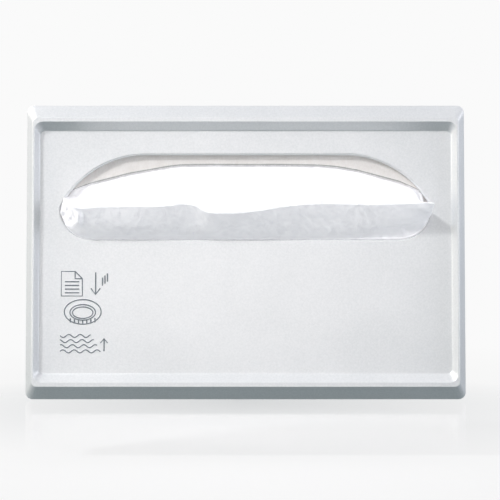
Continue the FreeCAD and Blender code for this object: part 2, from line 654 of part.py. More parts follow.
def make_pulled_cover():
    """The front cover, drawn forward to a crest before the panel, back over the slot's lip and down."""
    back = STACK_FRONT_Y - PAPER_GAP
    crest_y = PANEL_Y - SHEET_REACH
    lip_back_y = PANEL_Y + LIP_DEPTH
    lip_z = SLOT_BOTTOM + PAPER_GAP
    tail_z = lip_z - SHEET_CREST_RISE
    over_lip_z = lip_z + SHEET_THICKNESS
    points = [
        (back, SHEET_TOP + SHEET_TOP_FALL),
        (back - SHEET_TOP_REACH, SHEET_TOP - SHEET_TOP_FALL),
        (crest_y - SHEET_CREST_POINT, SHEET_CREST_Z + SHEET_CREST_POINT),
        (PANEL_Y - LIP_ROUNDING - SHEET_LIP_ROOM, over_lip_z),
        (lip_back_y + 2 * SHEET_THICKNESS, over_lip_z),
        (back, tail_z),
        (back, SHELF_TOP + PAPER_GAP),
    ]
    radii = [SHEET_TOP_BEND_R, SHEET_CREST_R, SHEET_LIP_R, SHEET_LIP_R, SHEET_TAIL_R]
    sheet = band(points, radii, -SHEET_THICKNESS, SHEET_TAIL_HALF)
    far = RIDGE_Y - CASE_DEPTH
    in_slot = prism(slot_wire(-SHEET_SIDE_GAP, far), 2 * CASE_DEPTH)
    heel_half = slot_arc_centre(HEEL_R, SLOT_BOTTOM + HEEL_R)[0] - SHEET_HEEL_SET
    heel_top = SLOT_BOTTOM + SHEET_SIDE_GAP + SHEET_THICKNESS
    heel = box(-heel_half, heel_half, far, STACK_FRONT_Y, tail_z, heel_top)
    tail_top = (lip_z + tail_z) / 2
    tail_front = PANEL_BACK_Y + PAPER_GAP
    tail = box(-SHEET_TAIL_HALF, SHEET_TAIL_HALF, tail_front, 0, SHELF_TOP, tail_top)
    allowed = in_slot.fuse(heel).fuse(tail)
    return sheet.common(free_edge_prism()).common(allowed).removeSplitter()


NODES = {
    "front_cover": make_front_cover,
    "back_plate": make_back_plate,
    "hinge_pin_left": lambda: make_hinge_pin(-HINGE_X),
    "hinge_pin_right": lambda: make_hinge_pin(HINGE_X),
    "lock_housing": make_lock_housing,
    "lock_nut": make_lock_nut,
    "lock_plug": make_lock_plug,
    "lock_cam": make_lock_cam,
    "lock_screw": make_lock_screw,
    "cover_stack": make_cover_stack,
    "pulled_cover": make_pulled_cover,
}

os.makedirs("parts", exist_ok=True)
for name, make in NODES.items():
    shape = make()
    shape.exportStep(f"parts/{name}.step")
    print(name, len(shape.Solids), round(shape.Volume), shape.isValid())
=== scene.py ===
"""Looks of a wall dispenser for folded paper seat covers.

The case, the hinge pins and the lock get their finishes. The pack, the drawn cover and the print
on the panel are added, and the studio stands round them. Sizes are in millimetres, apart from
those of the lamps and the floor, which are in metres.
"""

import json
import logging
import math
from dataclasses import dataclass, field
from enum import Enum
from typing import Sequence

import bmesh
import bpy
from mathutils import Matrix, Vector, noise

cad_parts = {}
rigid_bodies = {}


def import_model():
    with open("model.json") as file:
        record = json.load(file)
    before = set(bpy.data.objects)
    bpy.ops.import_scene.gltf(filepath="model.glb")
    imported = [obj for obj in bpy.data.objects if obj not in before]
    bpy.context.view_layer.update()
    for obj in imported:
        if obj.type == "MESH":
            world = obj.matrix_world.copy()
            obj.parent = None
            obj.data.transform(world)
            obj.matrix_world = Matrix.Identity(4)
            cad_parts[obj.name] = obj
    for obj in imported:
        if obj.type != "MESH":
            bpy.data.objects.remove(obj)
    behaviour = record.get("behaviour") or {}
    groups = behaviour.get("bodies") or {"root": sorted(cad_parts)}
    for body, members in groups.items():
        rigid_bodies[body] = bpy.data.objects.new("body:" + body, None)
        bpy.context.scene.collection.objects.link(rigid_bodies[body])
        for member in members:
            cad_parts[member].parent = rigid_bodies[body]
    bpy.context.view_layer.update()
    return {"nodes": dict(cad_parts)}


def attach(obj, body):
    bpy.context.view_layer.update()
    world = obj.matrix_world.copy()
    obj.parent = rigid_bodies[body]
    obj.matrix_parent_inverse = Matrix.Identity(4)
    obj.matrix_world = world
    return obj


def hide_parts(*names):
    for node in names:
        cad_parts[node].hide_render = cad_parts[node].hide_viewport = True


Pair = tuple[float, float]
Point = tuple[float, float, float]

LOG = logging.getLogger("dispenser")
MM = 0.001
MICRON = 1e-6
# The flap's lower edge, as X and Z, which the drawn cover comes out under.
OPENING_EDGE: Sequence[Pair] = (
    (-183, 56), (-173.3, 60.4), (-163.4, 64.2), (-153.6, 67.6), (-133.9, 72.6), (-114.1, 77.7),
    (-94.4, 81.1), (-74.7, 84.6), (-64.8, 85.7), (-35.2, 86.2), (-0.6, 86.0), (33.9, 86.1),
    (57.6, 85.8), (73.4, 85.4), (89.9, 84.1), (109.6, 80.7), (122.7, 77.3), (139.2, 72.8),
    (152.3, 69.3), (162.2, 65.2), (168.1, 62.5), (183, 54.5),
)


def hex_to_linear(code: str) -> tuple[float, float, float, float]:
    """Turns an sRGB hex colour into linear light.

    Args:
        code: The colour, such as "#D9DCDF".

    Returns:
        Red, green, blue and a full alpha, in linear light.
    """
    channels = [int(code[i:i + 2], 16) / 255 for i in (1, 3, 5)]
    red, green, blue = (c / 12.92 if c <= 0.04045 else ((c + 0.055) / 1.055) ** 2.4 for c in channels)
    return (red, green, blue, 1.0)


def scale_for(size_mm: float) -> float:
    """Turns the size of a pattern's grain, in millimetres, into a texture scale on coordinates in metres."""
    return 1.0 / (size_mm * MM)


def add_node(tree: bpy.types.NodeTree, kind: str, settings: dict | None = None,
             links: dict | None = None) -> bpy.types.Node:
    """Adds a node with its settings, socket values and links.

    Args:
        tree: The node tree that the node goes into.
        kind: The node's type name.
        settings: Properties by name, socket values by socket name or number, and under "stops" the
            two stops of a colour ramp, each with its place from 0 to 1 and its hex colour.
        links: Sources by the name or number of the input that each goes to.

    Returns:
        The new node.
    """
    node = tree.nodes.new(kind)
    for name, value in (settings or {}).items():
        if name == "stops":
            for element, (place, code) in zip(node.color_ramp.elements, value):
                element.position = place
                element.color = hex_to_linear(code)
        elif isinstance(name, str) and name not in node.inputs:
            setattr(node, name, value)
        else:
            node.inputs[name].default_value = value
    for name, source in (links or {}).items():
        tree.links.new(source, node.inputs[name])
    return node


def new_material(name: str, settings: dict) -> tuple[bpy.types.Material, bpy.types.NodeTree, bpy.types.Node]:
    """Makes a node material with its main shader.

    Args:
        name: The material's name.
        settings: The main shader's constant values, by socket name.

    Returns:
        The material, its node tree and its main shader, which is linked to the output.
    """
    material = bpy.data.materials.new(name)
    material.use_nodes = True
    tree = material.node_tree
    tree.nodes.clear()
    shader = add_node(tree, "ShaderNodeBsdfPrincipled", settings)
    add_node(tree, "ShaderNodeOutputMaterial", links={"Surface": shader.outputs["BSDF"]})
    return material, tree, shader


def surface(tree: bpy.types.NodeTree, source: bpy.types.NodeSocket) -> None:
    """Links another shader to a material's output in place of the main one."""
    out = next(node for node in tree.nodes if node.type == "OUTPUT_MATERIAL")
    tree.links.new(source, out.inputs["Surface"])


class Finish(Enum):
    """The material slots of the record that the added pieces belong to. Nothing in this script reads them."""

    SILVER_ABS = "silver_abs"
    STACK_PAPER = "stack_paper"
    TISSUE = "tissue"


@dataclass(frozen=True)
class SatinSilverLacquer:
    """ABS sprayed with a satin silver lacquer: pale, softly glossy, with a fine flake that just sparkles."""

    low: str = "#D9DBDC"
    high: str = "#E6E7E8"
    flake_mm: float = 1.8  # the real flake is under 0.1 mm, and this is as coarse as it needs to show
    cloud_mm: float = 60.0  # the slow unevenness of a sprayed coat
    cloud_share: float = 0.35
    metallic: float = 0.40
    roughness: float = 0.40
    roughness_spread: float = 0.06
    coat: float = 0.25
    coat_roughness: float = 0.22
    bump_um: float = 14.0
    bump_strength: float = 0.35

    def build(self) -> bpy.types.Material:
        """Makes the lacquer.

        Returns:
            The material, whose flake moves its tone, its gloss and its relief together.
        """
        material, tree, shader = new_material("satin_silver_lacquer", {
            "Metallic": self.metallic, "Coat Weight": self.coat, "Coat Roughness": self.coat_roughness})
        place = add_node(tree, "ShaderNodeTexCoord").outputs["Object"]
        flake = add_node(tree, "ShaderNodeTexNoise", {
            "Scale": scale_for(self.flake_mm), "Detail": 2.0, "Roughness": 0.6}, {"Vector": place})
        cloud = add_node(tree, "ShaderNodeTexNoise", {
            "Scale": scale_for(self.cloud_mm), "Detail": 2.0}, {"Vector": place})
        both = add_node(tree, "ShaderNodeMix", {"data_type": "FLOAT", "Factor": self.cloud_share}, {
            2: flake.outputs["Fac"], 3: cloud.outputs["Fac"]})
        tone = add_node(tree, "ShaderNodeValToRGB", {
            "stops": ((0.30, self.low), (0.70, self.high))}, {"Fac": both.outputs[0]})
        rough = add_node(tree, "ShaderNodeMapRange", {
            "To Min": self.roughness - self.roughness_spread,
            "To Max": self.roughness + self.roughness_spread}, {"Value": flake.outputs["Fac"]})
        bump = add_node(tree, "ShaderNodeBump", {
            "Strength": self.bump_strength, "Distance": self.bump_um * MICRON}, {
            "Height": flake.outputs["Fac"]})
        tree.links.new(tone.outputs["Color"], shader.inputs["Base Color"])
        tree.links.new(rough.outputs["Result"], shader.inputs["Roughness"])
        tree.links.new(bump.outputs["Normal"], shader.inputs["Normal"])
        return material


@dataclass(frozen=True)
class MouldedGreyAbs:
    """Grey ABS, injection moulded in a spark-eroded tool: matt, with a fine even grain."""

    low: str = "#8E9396"
    high: str = "#A2A7AA"
    grain_mm: float = 0.9  # the real grain is about 0.3 mm, and this is as coarse as it needs to show
    roughness: float = 0.55
    bump_um: float = 60.0
    bump_strength: float = 0.5

    def build(self) -> bpy.types.Material:
        """Makes the grey plastic.

        Returns:
            The material, whose grain moves its tone and its relief.
        """
        material, tree, shader = new_material("moulded_grey_abs", {"Roughness": self.roughness})
        place = add_node(tree, "ShaderNodeTexCoord").outputs["Object"]
        grain = add_node(tree, "ShaderNodeTexNoise", {
            "Scale": scale_for(self.grain_mm), "Detail": 3.0}, {"Vector": place})
        tone = add_node(tree, "ShaderNodeValToRGB", {
            "stops": ((0.3, self.low), (0.7, self.high))}, {"Fac": grain.outputs["Fac"]})
        bump = add_node(tree, "ShaderNodeBump", {
            "Strength": self.bump_strength, "Distance": self.bump_um * MICRON}, {
            "Height": grain.outputs["Fac"]})
        tree.links.new(tone.outputs["Color"], shader.inputs["Base Color"])
        tree.links.new(bump.outputs["Normal"], shader.inputs["Normal"])
        return material


@dataclass(frozen=True)
class PlatedMetal:
    """Plated metal, turned or pressed: a bright skin with fine tool lines and slightly uneven gloss."""

    name: str
    low: str
    high: str
    roughness: float
    smoother: float = 0.05
    rougher: float = 0.08
    line_mm: float = 0.7  # the real lines are finer, and this is as coarse as they need to show
    line_stretch: Point = (0.15, 1.0, 1.0)

    def build(self) -> bpy.types.Material:
        """Makes the plated metal.

        Returns:
            The material, whose lines run from left to right.
        """
        material, tree, shader = new_material(self.name, {"Metallic": 1.0})
        place = add_node(tree, "ShaderNodeTexCoord").outputs["Object"]
        stretch = add_node(tree, "ShaderNodeMapping", {"Scale": self.line_stretch}, {"Vector": place})
        lines = add_node(tree, "ShaderNodeTexNoise", {
            "Scale": scale_for(self.line_mm), "Detail": 4.0}, {"Vector": stretch.outputs["Vector"]})
        tone = add_node(tree, "ShaderNodeValToRGB", {
            "stops": ((0.3, self.low), (0.7, self.high))}, {"Fac": lines.outputs["Fac"]})
        rough = add_node(tree, "ShaderNodeMapRange", {
            "To Min": self.roughness - self.smoother,
            "To Max": self.roughness + self.rougher}, {"Value": lines.outputs["Fac"]})
        tree.links.new(tone.outputs["Color"], shader.inputs["Base Color"])
        tree.links.new(rough.outputs["Result"], shader.inputs["Roughness"])
        return material


@dataclass(frozen=True)
class TissuePaper:
    """Thin creped tissue: matt white, with fine crepe lines across the web, light that soaks through, and a
    painted glow.
    """

    name: str
    low: str
    high: str
    crepe_mm: float = 1.3  # the real crepe is about 0.5 mm, and this is as coarse as it needs to show
    crepe_stretch: Point = (1.0, 1.0, 0.45)
    fibre_mm: float = 5.0
    bump_um: float = 90.0
    bump_strength: float = 0.5
    roughness: float = 0.85
    sheen: float = 0.2
    translucency: float = 0.45
    painted_glow: float = 0.10  # painted light: an emission that lifts the tissue's tone, standing in for light it would get in the room
    glow: str = "#FAFAFF"  # the faint blue of the painted glow

    def build(self) -> bpy.types.Material:
        """Makes the tissue.

        Returns:
            The material, a mix of paper lit from the front and paper lit from behind.
        """
        material, tree, shader = new_material(self.name, {
            "Roughness": self.roughness, "Specular IOR Level": self.sheen,
            "Emission Color": hex_to_linear(self.glow),
            "Emission Strength": self.painted_glow / (1.0 - self.translucency)})
        place = add_node(tree, "ShaderNodeTexCoord").outputs["Object"]
        stretch = add_node(tree, "ShaderNodeMapping", {"Scale": self.crepe_stretch}, {"Vector": place})
        crepe = add_node(tree, "ShaderNodeTexNoise", {
            "Scale": scale_for(self.crepe_mm), "Detail": 3.0, "Distortion": 0.4}, {
            "Vector": stretch.outputs["Vector"]})
        fibre = add_node(tree, "ShaderNodeTexNoise", {
            "Scale": scale_for(self.fibre_mm), "Detail": 5.0}, {"Vector": place})
        both = add_node(tree, "ShaderNodeMix", {"data_type": "FLOAT", "Factor": 0.5}, {
            2: crepe.outputs["Fac"], 3: fibre.outputs["Fac"]})
        tone = add_node(tree, "ShaderNodeValToRGB", {
            "stops": ((0.32, self.low), (0.62, self.high))}, {"Fac": both.outputs[0]})
        bump = add_node(tree, "ShaderNodeBump", {
            "Strength": self.bump_strength, "Distance": self.bump_um * MICRON}, {"Height": both.outputs[0]})
        tree.links.new(tone.outputs["Color"], shader.inputs["Base Color"])
        tree.links.new(bump.outputs["Normal"], shader.inputs["Normal"])
        through = add_node(tree, "ShaderNodeBsdfTranslucent", links={"Color": tone.outputs["Color"]})
        skin = add_node(tree, "ShaderNodeMixShader", {0: self.translucency}, {
            1: shader.outputs[0], 2: through.outputs[0]})
        surface(tree, skin.outputs[0])
        return material


@dataclass(frozen=True)
class PrintedInk:
    """Pad-printed ink: a thin, slightly glossy film of one colour with a faintly uneven tone."""

    name: str
    low: str
    high: str
    patch_mm: float = 3.0
    roughness: float = 0.45

    def build(self) -> bpy.types.Material:
        """Makes the ink.

        Returns:
            The material, whose patches move its tone.
        """
        material, tree, shader = new_material(self.name, {"Roughness": self.roughness})
        place = add_node(tree, "ShaderNodeTexCoord").outputs["Object"]
        patch = add_node(tree, "ShaderNodeTexNoise", {
            "Scale": scale_for(self.patch_mm), "Detail": 3.0}, {"Vector": place})
        tone = add_node(tree, "ShaderNodeValToRGB", {
            "stops": ((0.3, self.low), (0.7, self.high))}, {"Fac": patch.outputs["Fac"]})
        tree.links.new(tone.outputs["Color"], shader.inputs["Base Color"])
        return material


@dataclass(frozen=True)
class Spot:
    """A place on the floor, in metres, round which a material's value fades from 1 to 0."""

    centre: Pair
    reach: Pair

    def value(self, tree: bpy.types.NodeTree, place: bpy.types.NodeSocket) -> bpy.types.NodeSocket:
        """Makes the fading value in a material.

        Args:
            tree: The material's nodes.
            place: The point on the floor.

        Returns:
            The value, which is 1 at the centre and 0 from the reach on.
        """
        scale = (1 / self.reach[0], 1 / self.reach[1], 0.0)
        shift = (-self.centre[0] / self.reach[0], -self.centre[1] / self.reach[1], 0.0)
        centred = add_node(tree, "ShaderNodeMapping", {"Location": shift, "Scale": scale}, {"Vector": place})
        fade = add_node(tree, "ShaderNodeTexGradient", {"gradient_type": "SPHERICAL"}, {
            "Vector": centred.outputs[0]})
        return fade.outputs[0]


@dataclass(frozen=True)
class PaleFloor:
    """A painted floor: near white to the camera, greyer beside the object, palest in a painted pool of light
    behind it, and dim where it lights it.
    """

    body: str = "#4C6064"
    roughness: float = 0.6
    near_tone: str = "#F3F3F3"
    far_tone: str = "#FAFAFA"
    matt: str = "#F2F2F2"
    shadow: float = 0.2  # how much of the object's own shadow shows under it
    around: Spot = Spot((0.0, -0.4), (3.2, 3.2))
    # painted light: a pale pool on the floor behind the case
    behind: Spot = Spot((0.0, 0.15), (0.42, 0.55))
    under: Spot = Spot((0.0, 0.0), (0.8, 0.8))

    def build(self) -> bpy.types.Material:
        """Makes the floor's paint.

        Returns:
            The material, whose tone is set for the camera and whose body lights the object.
        """
        material, tree, shader = new_material("pale_floor", {
            "Base Color": hex_to_linear(self.body), "Roughness": self.roughness})
        place = add_node(tree, "ShaderNodeTexCoord").outputs["Object"]
        away = add_node(tree, "ShaderNodeMath", {"operation": "SUBTRACT", 0: 1.0}, {
            1: self.around.value(tree, place)})
        pale = add_node(tree, "ShaderNodeMath", {"operation": "MAXIMUM"}, {
            0: away.outputs[0], 1: self.behind.value(tree, place)})
        tone = add_node(tree, "ShaderNodeValToRGB", {
            "stops": ((0.0, self.near_tone), (0.9, self.far_tone))}, {"Fac": pale.outputs[0]})
        seen = add_node(tree, "ShaderNodeEmission", {"Strength": 1.0}, {"Color": tone.outputs["Color"]})
        matt = add_node(tree, "ShaderNodeBsdfDiffuse", {"Color": hex_to_linear(self.matt)})
        shade = add_node(tree, "ShaderNodeMath", {"operation": "MULTIPLY", 1: self.shadow}, {
            0: self.under.value(tree, place)})
        image = add_node(tree, "ShaderNodeMixShader", links={
            0: shade.outputs[0], 1: seen.outputs[0], 2: matt.outputs[0]})
        path = add_node(tree, "ShaderNodeLightPath")
        pick = add_node(tree, "ShaderNodeMixShader", links={
            0: path.outputs["Is Camera Ray"], 1: shader.outputs[0], 2: image.outputs[0]})
        surface(tree, pick.outputs[0])
        return material


@dataclass(frozen=True)
class ClearAcrylicSheet:
    """Clear acrylic: unseen by itself, it gives the case a faint mirror image that fades out."""

    mirror: float = 0.34  # the mirror image's strength where it is strongest
    roughness: float = 0.06
    near: Spot = Spot((0.0, -0.06), (0.33, 0.42))

    def build(self) -> bpy.types.Material:
        """Makes the clear acrylic.

        Returns:
            The material, which mirrors for the camera alone and only near the case.
        """
        material, tree, _ = new_material("clear_acrylic_sheet", {})
        place = add_node(tree, "ShaderNodeTexCoord").outputs["Object"]
        clear = add_node(tree, "ShaderNodeBsdfTransparent")
        mirror = add_node(tree, "ShaderNodeBsdfGlossy", {
            "Color": hex_to_linear("#FFFFFF"), "Roughness": self.roughness})
        path = add_node(tree, "ShaderNodeLightPath").outputs["Is Camera Ray"]
        seen = add_node(tree, "ShaderNodeMath", {"operation": "MULTIPLY"}, {
            0: self.near.value(tree, place), 1: path})
        share = add_node(tree, "ShaderNodeMath", {"operation": "MULTIPLY", 1: self.mirror}, {
            0: seen.outputs[0]})
        image = add_node(tree, "ShaderNodeMixShader", links={
            0: share.outputs[0], 1: clear.outputs[0], 2: mirror.outputs[0]})
        surface(tree, image.outputs[0])
        return material


def dress(piece: bpy.types.Object, material: bpy.types.Material) -> None:
    """Gives every slot of a piece one material.

    Args:
        piece: The piece, with or without slots of its own.
        material: The piece's material.
    """
    if not piece.material_slots:
        piece.data.materials.append(material)
    for slot in piece.material_slots:
        slot.material = material


def deselect_all() -> None:
    """Deselects every object."""
    for other in bpy.context.view_layer.objects:
        other.select_set(False)


def only(piece: bpy.types.Object) -> None:
    """Selects one object alone and makes it active.

    Args:
        piece: The object.
    """
    deselect_all()
    piece.select_set(True)
    bpy.context.view_layer.objects.active = piece


def link_new(name: str, data: bpy.types.ID) -> bpy.types.Object:
    """Puts new data into the scene as an object.

    Args:
        name: The object's name.
        data: The mesh, curve, camera or lamp.

    Returns:
        The new object.
    """
    piece = bpy.data.objects.new(name, data)
    bpy.context.scene.collection.objects.link(piece)
    return piece


def apply_modifiers(piece: bpy.types.Object) -> None:
    """Applies every modifier on a piece, in order.

    Args:
        piece: The piece.
    """
    only(piece)
    for modifier in list(piece.modifiers):
        bpy.ops.object.modifier_apply(modifier=modifier.name)


def settle_in_mesh(piece: bpy.types.Object) -> None:
    """Moves a piece's place, turn and scale into its mesh."""
    only(piece)
    bpy.ops.object.transform_apply(location=True, rotation=True, scale=True)


def walled_sheet(name: str, lines: Sequence[Sequence[Vector]], thickness: float,
                 rising: bool) -> bpy.types.Object:
    """Makes a sheet of paper from lines of points and gives it its thickness.

    Args:
        name: The sheet's name.
        lines: The lines, from left to right, each with its points in millimetres.
        thickness: The paper's thickness, half of it on each side of the points.
        rising: Whether each line's points go up. Either way the faces point to the front.

    Returns:
        The sheet, as a mesh in its place.
    """
    mesh = bpy.data.meshes.new(name)
    build = bmesh.new()
    grid = [[build.verts.new(point * MM) for point in line] for line in lines]
    for left, right in zip(grid, grid[1:]):
        for j in range(len(left) - 1):
            if rising:
                build.faces.new((left[j], right[j], right[j + 1], left[j + 1]))
            else:
                build.faces.new((left[j], left[j + 1], right[j + 1], right[j]))
    build.to_mesh(mesh)
    build.free()
    sheet = link_new(name, mesh)
    wall = sheet.modifiers.new("wall", "SOLIDIFY")
    wall.thickness = thickness * MM
    wall.offset = 0.0
    apply_modifiers(sheet)
    return sheet


def smooth_between(knots: Sequence[Sequence[float]], where: float) -> tuple[float, ...]:
    """Reads a smooth curve through knots, by the Catmull-Rom formula.

    Args:
        knots: The points that the curve passes through, evenly spaced in the parameter.
        where: The place along the curve, from 0 at the first knot to 1 at the last.

    Returns:
        The point at that place.
    """
    spans = len(knots) - 1
    along = min(max(where, 0.0), 1.0) * spans
    index = min(int(along), spans - 1)
    part = along - index
    before, start, end, after = (knots[min(max(index + i, 0), spans)] for i in (-1, 0, 1, 2))
    point = []
    for p0, p1, p2, p3 in zip(before, start, end, after):
        bend = (2 * p0 - 5 * p1 + 4 * p2 - p3) * part + (3 * p1 - 3 * p2 + p3 - p0) * part * part
        point.append(p1 + 0.5 * part * (p2 - p0 + bend))
    return tuple(point)


def level_at(line: Sequence[Pair], x: float) -> float:
    """Reads the height of a line at a place across it.

    Args:
        line: The line's points, as X and Z, from left to right, with straight runs between them.
        x: The place across.

    Returns:
        The height there, or the last point's height beyond the line's end.
    """
    for left, right in zip(line, line[1:]):
        if x <= right[0]:
            return left[1] + (right[1] - left[1]) * (x - left[0]) / (right[0] - left[0])
    return line[-1][1]


def point_at(line: Sequence[Point], share: float) -> tuple[float, ...]:
    """Reads a smooth line of unevenly spaced points at a share of the line's own length.

    Args:
        line: The points, from left to right.
        share: The place, from 0 to 1, counted along the length that shows from the front.

    Returns:
        The point there.
    """
    runs = [math.dist((a[0], a[2]), (b[0], b[2])) for a, b in zip(line, line[1:])]
    want = share * sum(runs)
    passed = 0.0
    for index, run in enumerate(runs):
        if passed + run >= want or index == len(runs) - 1:
            inside = min((want - passed) / run, 1.0)
            return smooth_between(line, (index + inside) / len(runs))
        passed += run
    return tuple(line[-1])


@dataclass(frozen=True)
class Fade:
    """A weight that goes evenly from 0 at one place to 1 at another, and stays so beyond them."""

    zero: float
    one: float

    def at(self, place: float) -> float:
        """Gives the weight at a place."""
        return min(max((place - self.zero) / (self.one - self.zero), 0.0), 1.0)


@dataclass(frozen=True)
class Ripple:
    """A kind of unevenness in paper, by its length across and down, and its slant."""

    across: float
    down: float
    seed: float
    slant: float = math.inf  # how far down a ripple goes while it moves one length across

    def wave(self, point: Vector) -> float:
        """Gives the soft wave at a point, from -1 to 1."""
        across = point.x / self.across + point.z / self.slant
        return noise.noise(Vector((across, point.z / self.down, self.seed)))

    def ridge(self, point: Vector) -> float:
        """Gives the same wave folded up into sharp ridges, from -0.5 to 0.5."""
        return 0.5 - abs(self.wave(point))


@dataclass(frozen=True)
class Crease:
    """A fold in the sheet, seen from the front as a straight run in X and Z.

    It pushes the paper out or back by the given move, between two places down the sheet.
    """

    start: Pair
    end: Pair
    width: float
    push: Point
    first: float = 0.15
    last: float = 0.64
    ease: float = 0.05

    def move(self, point: Vector, along: float) -> Vector:
        """Works out the fold's move at a point of the sheet.

        Args:
            point: The sheet's point, in millimetres.
            along: The place down the sheet, from 0 at the free edge to 1 at the tail.

        Returns:
            The move, in millimetres, which falls off evenly on both sides of the fold.
        """
        fade = min((along - self.first) / self.ease, (self.last - along) / self.ease, 1.0)
        if fade <= 0.0:
            return Vector((0, 0, 0))
        start = Vector(self.start)
        run = Vector(self.end) - start
        here = Vector((point.x, point.z)) - start
        share = min(max(here.dot(run) / run.length_squared, 0.0), 1.0)
        away = (here - run * share).length
        return Vector(self.push) * (fade * max(0.0, 1.0 - away / self.width))


@dataclass
class DrawnSheet:
    """The front cover, drawn forward through the slot.

    It has a free edge, a wavy crest, a hanging face and a hidden tail. Lines run from left to
    right and have points as X, Y and Z. Fades go by the share of the way across, unless their
    comment says otherwise.
    """

    columns: int = 300
    rows: int = 104
    left_crowding: float = 1.2  # columns lie closer at the left, where the sheet is most creased
    top_crowding: float = 1.1
    thickness: float = 0.22
    edge_y: float = -41.0
    edge_half: float = 172.0
    edge_rise: float = 3.0  # how far the free edge reaches up behind the flap
    flap_step: float = 0.2  # how far the sheet comes forward from there to the flap's edge
    flap_drop: float = 2.0  # how far below the flap's edge that is
    crest: Sequence[Point] = (
        (-178.6, -49.9, 52.4), (-175, -54, 50.4), (-170.5, -60, 47.0), (-166, -66, 43.6),
        (-161, -68.4, 41.7), (-153, -69.2, 42.1), (-147.8, -69.8, 42.5), (-134.6, -70, 43.1),
        (-111.2, -70, 43.4), (-84.5, -70, 43.5), (-70.8, -70.3, 44.7), (-60.9, -70.5, 46.0),
        (-49.1, -70.2, 44.5), (-39, -69.6, 39.3), (-28.4, -69.3, 37.6), (-6.3, -69.5, 37.9),
        (13.9, -70, 40.1), (39, -70.4, 43.8), (74.3, -70.5, 46.3), (100.6, -70.3, 45.7),
        (121.4, -70.2, 45.3), (148.7, -70, 46.1), (171.6, -70, 47.0), (181.2, -69.5, 46.2),
    )
    lip: Sequence[Point] = (
        (-178.6, -48.8, 31), (-175.4, -47.9, 24.4), (-170.8, -47.4, 19.6), (-164, -47.2, 15.4),
        (-157, -47, 13.2), (-149, -47, 12.7), (-120, -47, 12.6), (-60, -47.2, 12.5),
        (0, -47.2, 12.5), (60, -47.2, 12.5), (110, -47, 12.6), (140, -46.8, 12.8),
        (152, -46.6, 13.2), (160, -46.6, 14.4), (168, -46.8, 17.8), (174, -47.2, 23.4),
        (178, -48, 29), (179.6, -48.6, 33),
    )
    upper_share: float = 0.45  # the upper face's middle, on the way from the flap to the crest
    upper_arch: Point = (0, 1.5, 3.6)
    upper_left: Point = (1.4, 1.0, 0)
    deep_share: float = 0.74
    deep_shift: Point = (1.5, 0, 0.5)
    deep_y: float = -41.7  # where the left end's upper face lies sunk behind the slot's rim
    hid_upper: Point = (2.0, -42.4, -4)  # the right end's, by X and Z from the flap's edge
    shoulder_share: float = 0.86
    shoulder_arch: Point = (0, -1.2, 2.4)
    shoulder_left: Point = (1.9, 1.2, 0.3)
    sunk_share: float = 0.95
    sunk_y: float = -47.0
    hid_shoulder: Point = (-5, -48, -2.0)  # the right end's, by X and Z from the crest
    under_crest: Point = (-0.5, 1.2, -3.4)
    belly: float = 0.7
    left_belly: float = 2.4
    left_bulge: float = 2.6
    face_share: float = 0.5
    face_drop: float = 1.0
    low_share: float = 0.84
    low_drop: float = 0.3
    tuck: float = 7.0
    tuck_low: Point = (0, -3.4, 0.9)  # the low face's move, with its Z as a share of the tuck
    tuck_lip: Point = (0, 3.0, 0.22)  # the same for the paper on the lip
    lip_lift: float = 0.5  # how far the paper stands off the lip
    lip_belly: float = 0.4
    behind_lip: Pair = (-42.0, 0.3)  # Y, and the height over the lip
    drop: Pair = (-41.5, -9)
    drop_blend: float = 0.3  # how far the drop has moved from the lip's X to the tail's
    rest: float = -45.0
    tail_half: float = 178.0
    tail_y: float = -41.2
    tail_end: float = -133.8
    left_tip: Fade = Fade(0.05, 0.0)
    left_end: Fade = Fade(0.06, 0.0)
    right_end: Fade = Fade(0.95, 1.0)
    sunk_left: Fade = Fade(0.078, 0.042)
    hid_right: Fade = Fade(0.962, 0.988)
    tuck_from: Fade = Fade(98.0, 143.0)  # by X
    tuck_until: Fade = Fade(0.97, 0.94)
    belly_x: float = -122.0
    belly_reach: float = 34.0
    open_from: Fade = Fade(0.06, 0.16)  # by the share of the way down
    open_until: Fade = Fade(0.66, 0.54)  # by the share of the way down
    crumpled_left: Fade = Fade(0.07, 0.0)
    crumpled_right: Fade = Fade(0.94, 1.0)
    soft: Ripple = Ripple(26, 11, 1.7)
    fine: Ripple = Ripple(7, 4, 5.3)
    ridges: Ripple = Ripple(15, 17, 9.1, 21)
    sharp: Ripple = Ripple(6, 6, 3.9, -9)
    soft_depth: float = 0.55
    fine_depth: float = 0.12
    ridge_depth: float = 0.4
    end_sharp_depth: float = 1.3
    end_fine_depth: float = 0.8
    right_crumple: float = 0.5  # the right end is crumpled half as much as the left
    sway: float = 0.25
    lift: float = 0.4
    creases: Sequence[Crease] = (
        Crease((-166, 43), (-161.5, 34), 5, (0.4, -3.0, 0), 0.30),
        Crease((-161.5, 34), (-162, 28.5), 5, (0.4, -2.8, 0), 0.36),
        Crease((-162, 28.5), (-174, 23.8), 4.5, (0, -2.6, 0.6), 0.36),
        Crease((-177, 45), (-166, 36), 4, (0, -1.6, 0), 0.33),
        Crease((-166, 36), (-170, 26), 4, (0, 1.8, 0), 0.36),
        Crease((-179.5, 41), (-176.5, 31), 3, (0, 1.6, 0), 0.33),
        Crease((-174, 49), (-168, 41), 3.5, (0, -1.2, 0), 0.30),
        Crease((-172.5, 41), (-166.5, 32), 3.2, (0, 4.2, 0), 0.31),
        Crease((-177.5, 36), (-171.5, 27.5), 3.4, (0, 2.4, 0), 0.33),
        Crease((-172, 34), (-176, 40), 2.4, (0, -2.2, 0), 0.33),
        Crease((156, 22.5), (163.8, 17.2), 4.5, (0, 3.2, 0), 0.45),
        Crease((172, 42), (181, 34), 6, (0, -1.2, 0), 0.34),
        Crease((-142, 60), (-118, 52), 7, (0, -0.8, 0), 0.05, 0.34),
        Crease((120, 62), (150, 52), 9, (0, -0.7, 0), 0.05, 0.34),
    )

